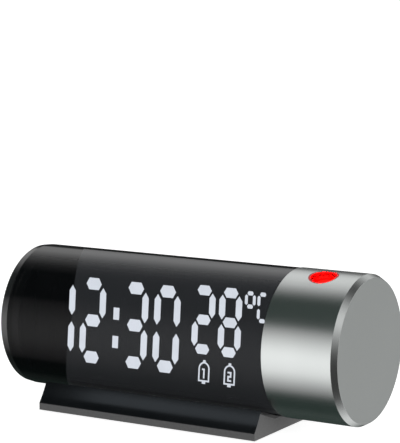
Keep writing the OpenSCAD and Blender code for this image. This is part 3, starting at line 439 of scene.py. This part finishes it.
def base_plastic():
    """Glossy black hollow top; the lip and the flat ends keep the mould's grey grain. The ends are
    painted lighter than the lip, and a polished black strip at their top is painted shade.
    """
    material, g = new_material("base_black")
    x, y, height = place_on_clock(g)
    # each flat end is grained up to a polished black strip under its sloping top, which paints the
    # shade under the cylinder
    inward = g.math("SUBTRACT", BASE_CREASE_Y, g.math("ABSOLUTE", y))
    slope = g.math("MULTIPLY", inward, BASE_SLOPE)
    top = g.math("SUBTRACT", BASE_CREASE_Z - AXIS_Z, slope)
    below = g.math("SUBTRACT", g.math("MAXIMUM", top, BASE_TOP - AXIS_Z), height)
    off_middle = g.math("ABSOLUTE", g.math("SUBTRACT", x, BASE_MIDDLE))
    flat = g.span(off_middle, BASE_HALF - 2 * END_EDGE, BASE_HALF - END_EDGE)
    end = g.math("MULTIPLY", flat, g.span(below, BASE_SHADE_STRIP - SHADE_STRIP_EDGE, BASE_SHADE_STRIP))
    lip_top = BASE_LIP - AXIS_Z - LIP_EDGE
    lip = g.span(height, lip_top - END_EDGE, lip_top, 1.0, 0.0)
    grained = g.math("MAXIMUM", end, lip)
    smudge = g.noise(40.0, 3.0)
    fine = g.noise(1100.0, 3.0)
    gloss_tone = g.tones(smudge, (0.0055, 0.006, 0.0072), (0.0075, 0.008, 0.0092), (0.3, 0.75))
    lip_tone = g.tones(fine, 0.105, 0.125)
    # painted light: the flat ends are painted lighter than the lip, though both are the same
    # grained plastic
    end_tone_painted_lighter = g.tones(fine, 0.16, 0.185)
    gloss_rough = g.span(smudge, *SMEAR, 0.12, 0.15)
    g.principled(
        {
            "Base Color": g.mix(grained, gloss_tone, g.mix(end, lip_tone, end_tone_painted_lighter)),
            "Roughness": g.math("ADD", gloss_rough, g.math("MULTIPLY", grained, 0.35)),
            "Specular IOR Level": 0.35,
            "Normal": g.bump(g.math("MULTIPLY", fine, grained), 0.3, 0.00002),
        }
    )
    return material


# ------------------------------------------------------------------ which node wears what

MATERIALS = {
    "smoked_cover": smoked_cover(),
    "shell_black": gloss_black("shell_black", (0.012, 0.012, 0.013), 0.12, 0.4),
    "end_cap_grey": gloss_black("end_cap_grey", (0.02, 0.02, 0.021), 0.1, 1.0),
    "base_black": base_plastic(),
    "feet_rubber": moulded("feet_rubber", (0.02, 0.02, 0.02), 0.8, 0.2),
    "drum_metal": turned_drum(),
    "disc_metal": painted_disc(),
    "mask_black": moulded("mask_black", (0.012, 0.012, 0.013), 0.7, 0.1),
    "lit_white": glowing("lit_white", (0.86, 0.91, 1.0), 3.2, 0.93),
    "guide_dark": moulded("guide_dark", (0.012, 0.012, 0.013), 0.6, 0.1),
    "board_green": circuit_board("board_green", (0.015, 0.11, 0.045), (0.03, 0.2, 0.08)),
    "board_white": circuit_board("board_white", (0.78, 0.78, 0.76), (0.7, 0.7, 0.66)),
    "parts_black": moulded("parts_black", (0.02, 0.02, 0.021), 0.5),
    "steel": metal("steel", (0.6, 0.6, 0.62), 0.25),
    "copper": metal("copper", (0.75, 0.4, 0.22), 0.35),
    "bush_white": moulded("bush_white", (0.78, 0.77, 0.7), 0.4),
    "cell_steel": metal("cell_steel", (0.72, 0.72, 0.73), 0.22),
    "heat_alu": metal("heat_alu", (0.75, 0.76, 0.77), 0.35, (1, 1, 12)),
    "lamp_red": glowing("lamp_red", (1.0, 0.03, 0.02), 6.0),
    "lens_glass": clear_glass("lens_glass", (0.95, 0.97, 1.0)),
    "cell_glass": clear_glass("cell_glass", (0.35, 0.37, 0.35), 0.05),
    "ring_black": moulded("ring_black", (0.012, 0.012, 0.012), 0.4, 0.4),
    "lead_red": moulded("lead_red", (0.5, 0.02, 0.015), 0.5),
    "ribbon_grey": moulded("ribbon_grey", (0.6, 0.6, 0.62), 0.5),
    "button_grey": moulded("button_grey", (0.03, 0.03, 0.032), 0.5, 0.4),
    "led_yellow": moulded("led_yellow", (0.85, 0.78, 0.35), 0.4),
}

# The beam's red, painted as a glow on the outer lens and on the parts round it
BEAM_RED = (1.0, 0.0012, 0.0008)
LENS_PAINTED_GLOW = glowing("lens_painted_glow", BEAM_RED, 300.0, 0.9)
RING_PAINTED_GLOW = glowing("ring_painted_glow", BEAM_RED, 0.2, 0.8)

for subpart in frame["record"]["subparts"]:
    node = frame["nodes"][subpart["node"]]
    node.data.materials.clear()
    node.data.materials.append(MATERIALS[subpart["material_slot"]])
# the polished black and the drum don't show the base under them
frame["nodes"]["base_cradle"].visible_glossy = False
# painted light: the outer lens glows red for the lamp's beam that fills it, and the ring, bezel
# and barrel round it glow a faint red for the beam's light falling on them
frame["nodes"]["objective_lens"].data.materials[0] = LENS_PAINTED_GLOW
for node in ("focus_ring", "lens_bezel", "lens_barrel"):
    frame["nodes"][node].data.materials[0] = RING_PAINTED_GLOW


# ------------------------------------------------------------------ signs on the rear panel


PANEL_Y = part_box("battery_door")[1][1]
# The ink's depth on each side of the panel's face
INK = 0.00002
# How far a sign's middle is above its button's
SIGN_RISE = 0.0056
# In millimetres, as the signs are drawn: a stroke's width and the clock face's radius
STROKE = 0.32
CLOCK_FACE_R = 1.35
MM_IN_M = 1000


def add_prism(bm, outline, place):
    """A thin flat shape on the panel: its printed face and its edges."""
    front = [bm.verts.new(place(u, v, INK)) for u, v in outline]
    back = [bm.verts.new(place(u, v, -INK)) for u, v in outline]
    bm.faces.new(front)
    bm.faces.new(reversed(back))
    for i, corner in enumerate(front):
        bm.faces.new((front[i - 1], back[i - 1], back[i], corner))


def add_ring(bm, radius, width, place, steps=24):
    """A flat ring round a sign's middle, as one thin block for each step round it."""
    turns = [2 * math.pi * i / steps for i in range(steps + 1)]
    for low, high in zip(turns, turns[1:]):
        corners = ((radius - width, low), (radius, low), (radius, high), (radius - width, high))
        add_prism(bm, [(r * math.cos(t), r * math.sin(t)) for r, t in corners], place)


def bar(u0, v0, u1, v1):
    """Outline of a straight stroke from one point to another, in millimetres."""
    along = Vector((u1 - u0, v1 - v0)).normalized() * STROKE / 2
    across = Vector((-along.y, along.x))
    ends = (Vector((u0, v0)) - along, Vector((u1, v1)) + along)
    return [ends[0] - across, ends[1] - across, ends[1] + across, ends[0] + across]


def bell_strokes():
    """A small bell, left of its numeral."""
    dome = [
        (-1.9, -0.8),
        (-1.9, 0.3),
        (-1.5, 1.0),
        (-0.9, 1.3),
        (-0.3, 1.0),
        (0.1, 0.3),
        (0.1, -0.8),
    ]
    return [dome, bar(-2.2, -0.85, 0.4, -0.85), bar(-1.2, -1.3, -0.6, -1.3)]


def numeral(segments):
    """Strokes of a seven-segment numeral, right of its bell."""
    strokes = {
        "a": (0.9, 1.2, 1.9, 1.2),
        "b": (1.9, 1.2, 1.9, 0.1),
        "c": (1.9, 0.1, 1.9, -1.1),
        "d": (0.9, -1.1, 1.9, -1.1),
        "e": (0.9, 0.1, 0.9, -1.1),
        "g": (0.9, 0.1, 1.9, 0.1),
    }
    return [bar(*strokes[s]) for s in segments]


# Shapes over each button, in millimetres, u to the right and v up as seen from the rear
SIGNS = {
    "set": [bar(0, 0, 0, 0.8), bar(0, 0, 0.6, 0)],
    "up": [[(-1.2, -0.8), (1.2, -0.8), (0, 1.1)]],
    "down": [[(-1.2, 0.8), (0, -1.1), (1.2, 0.8)]],
    "alarm_one": [*bell_strokes(), *numeral("bc")],
    "alarm_two": [*bell_strokes(), *numeral("abged")],
    "projection": [
        [(-1.9, -0.5), (-0.9, -0.5), (-0.9, 0.5), (-1.9, 0.5)],
        bar(-0.5, 0.45, 1.7, 1.3),
        bar(-0.4, 0, 1.8, 0),
        bar(-0.5, -0.45, 1.7, -1.3),
    ],
}


def make_sign(name, material):
    """One printed sign over its button, as its own piece."""
    low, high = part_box(f"{name}_button")
    x = (low[0] + high[0]) / 2
    z = (low[2] + high[2]) / 2 + SIGN_RISE

    def place(u, v, proud):
        return (x - u / MM_IN_M, PANEL_Y + proud, z + v / MM_IN_M)

    bm = bmesh.new()
    for outline in SIGNS[name]:
        add_prism(bm, outline, place)
    if name == "set":
        add_ring(bm, CLOCK_FACE_R, STROKE, place)
    bmesh.ops.recalc_face_normals(bm, faces=bm.faces)
    mesh = bpy.data.meshes.new(f"{name}_sign")
    bm.to_mesh(mesh)
    bm.free()
    mesh.materials.append(material)
    sign = bpy.data.objects.new(f"{name}_sign", mesh)
    scene.collection.objects.link(sign)
    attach(sign, "housing")


ink = moulded("sign_ink", (0.5, 0.51, 0.52), 0.6, 0.3)
for button_name in SIGNS:
    make_sign(button_name, ink)


# ------------------------------------------------------------------ floor, light, camera

# Half the floor's side, and the floor's own light
FLOOR_HALF = 30.0
FLOOR_GLOW = 0.9


def make_floor():
    """A plain white floor, wide enough that its edge is never seen as a line."""
    mesh = bpy.data.meshes.new("floor")
    corners = [
        (-FLOOR_HALF, -FLOOR_HALF, 0),
        (FLOOR_HALF, -FLOOR_HALF, 0),
        (FLOOR_HALF, FLOOR_HALF, 0),
        (-FLOOR_HALF, FLOOR_HALF, 0),
    ]
    mesh.from_pydata(corners, [], [(0, 1, 2, 3)])
    floor = bpy.data.objects.new("floor", mesh)
    scene.collection.objects.link(floor)
    material, g = new_material("floor_white")
    matte = g.add("ShaderNodeBsdfDiffuse", {"Color": g.tones(g.noise(8.0), 0.49, 0.51)})
    g.finish(g.add_glow(matte.outputs["BSDF"], 1.0, FLOOR_GLOW))
    mesh.materials.append(material)
    # black gloss shows the studio's dark surroundings and not the table under it
    floor.visible_glossy = False
    floor.visible_diffuse = False
    floor.visible_shadow = False


# The tone between the softboxes
DARK = (0.0065, 0.0135, 0.011)
# The studio round the clock, as (angle about the clock's length, brightness): 0 is
# level at the front, 90 straight up, 180 level behind, -90 straight down. The left one
# shows in the cylinder and round the drum, the right one in the drum's bevel and end
LEFT_STUDIO = [
    (-180, 0.01),
    (-150, DARK),
    (-115, (0.022, 0.03, 0.027)),
    (-100, DARK),
    (-73, DARK),
    (-67, 0.1),
    (-50, 0.28),
    (-33, 0.52),
    (-12, 0.585),
    (0, 0.53),
    (14, 0.37),
    (30, 0.17),
    (37, DARK),
    (83, DARK),
    (97, 0.14),
    (110, 0.32),
    (122, 0.38),
    (136, 0.42),
    (154, 0.28),
    (161, 0.02),
    (180, 0.01),
]
RIGHT_STUDIO = [
    (-180, 0.2),
    (-145, 0.4),
    (-110, 0.42),
    (-88, 0.2),
    (-72, 0.04),
    (-55, 0.02),
    (-10, 0.02),
    (6, 0.06),
    (30, 0.22),
    (48, 0.38),
    (62, 0.38),
    (80, 0.22),
    (98, 0.05),
    (115, 0.02),
    (128, 0.12),
    (150, 0.36),
    (180, 0.2),
]
# The even grey at the clock's two ends
END_GREY = 0.75
STUDIO_STRENGTH = 2.0


def make_world():
    """The two studios, an even grey at the ends, and plain white for the camera."""
    world = bpy.data.worlds.new("studio")
    world.use_nodes = True
    scene.world = world
    g = Graph(world.node_tree)
    direction = g.add("ShaderNodeTexCoord").outputs["Generated"]
    way = g.add("ShaderNodeSeparateXYZ", {"Vector": direction})
    turn = g.math("ARCTAN2", way.outputs["Z"], g.math("MULTIPLY", way.outputs["Y"], -1.0))
    around = g.span(turn, -math.pi, math.pi)
    left, right = (
        g.ramp(around, [((angle + 180) / 360, brightness) for angle, brightness in studio])
        for studio in (LEFT_STUDIO, RIGHT_STUDIO)
    )
    side = g.span(way.outputs["X"], -0.3, 0.0, smooth=True)
    # towards the clock's two ends the softboxes give way to an even grey
    end_on = g.span(g.math("ABSOLUTE", way.outputs["X"]), 0.85, 0.98, smooth=True)
    whole = g.mix(end_on, g.mix(side, left, right), rgba(END_GREY))
    studio = g.add("ShaderNodeBackground", {"Color": whole, "Strength": STUDIO_STRENGTH})
    backdrop = g.add("ShaderNodeBackground", {"Color": rgba(1.0), "Strength": 1.0})
    seen = g.add("ShaderNodeLightPath").outputs["Is Camera Ray"]
    both = g.mix_shader(seen, studio.outputs["Background"], backdrop.outputs["Background"])
    g.add("ShaderNodeOutputWorld", {"Surface": both})


def make_light(name, spot, aim, size, power):
    """A square area light at spot that points at aim."""
    data = bpy.data.lights.new(name, "AREA")
    data.size = size
    data.energy = power
    light = bpy.data.objects.new(name, data)
    light.location = spot
    light.rotation_euler = (Vector(aim) - Vector(spot)).to_track_quat("-Z", "Y").to_euler()
    scene.collection.objects.link(light)
    return light


def make_lamp(name, spot, aim, size, power):
    """A soft square lamp that lights the clock and isn't seen in its gloss."""
    lamp = make_light(name, spot, aim, size, power)
    lamp.visible_glossy = False


STRIP_SPOT = (-0.107, -0.32, 0.325)
STRIP_AIM = (-0.115, -0.025, 0.009)
STRIP_LENGTH = 0.45
STRIP_WIDTH = 0.085
STRIP_POWER = 0.138
STRIP_TONE = (0.8, 0.9, 1.0)


def make_strip():
    """A long strip light that draws the soft line along the base's hollow front."""
    strip = make_light("strip", STRIP_SPOT, STRIP_AIM, STRIP_LENGTH, STRIP_POWER)
    strip.data.shape = "RECTANGLE"
    strip.data.size_y = STRIP_WIDTH
    strip.data.color = STRIP_TONE
    lit = bpy.data.collections.new("strip_lights")
    lit.objects.link(frame["nodes"]["base_cradle"])
    strip.light_linking.receiver_collection = lit


# The camera's place, how far it looks down and round, and its lens in millimetres
CAMERA_SPOT = (0.4273, -0.7151, 0.20484)
CAMERA_DOWN = 8.0587
CAMERA_ROUND = 30.8045
CAMERA_LENS = 156.98
CAMERA_SENSOR = 36.0


def make_camera():
    data = bpy.data.cameras.new("camera")
    data.sensor_width = CAMERA_SENSOR
    data.lens = CAMERA_LENS
    camera = bpy.data.objects.new("camera", data)
    camera.location = CAMERA_SPOT
    camera.rotation_euler = (math.radians(90 - CAMERA_DOWN), 0, math.radians(CAMERA_ROUND))
    scene.collection.objects.link(camera)
    scene.camera = camera


make_floor()
make_world()
make_lamp("key_lamp", (0.5, -0.9, 1.1), (0, 0, 0.03), 0.8, 6.0)
make_lamp("fill_lamp", (-0.9, 0.7, 0.9), (0, 0, 0.03), 0.8, 3.0)
make_strip()
make_camera()
scene.view_settings.view_transform = "Standard"
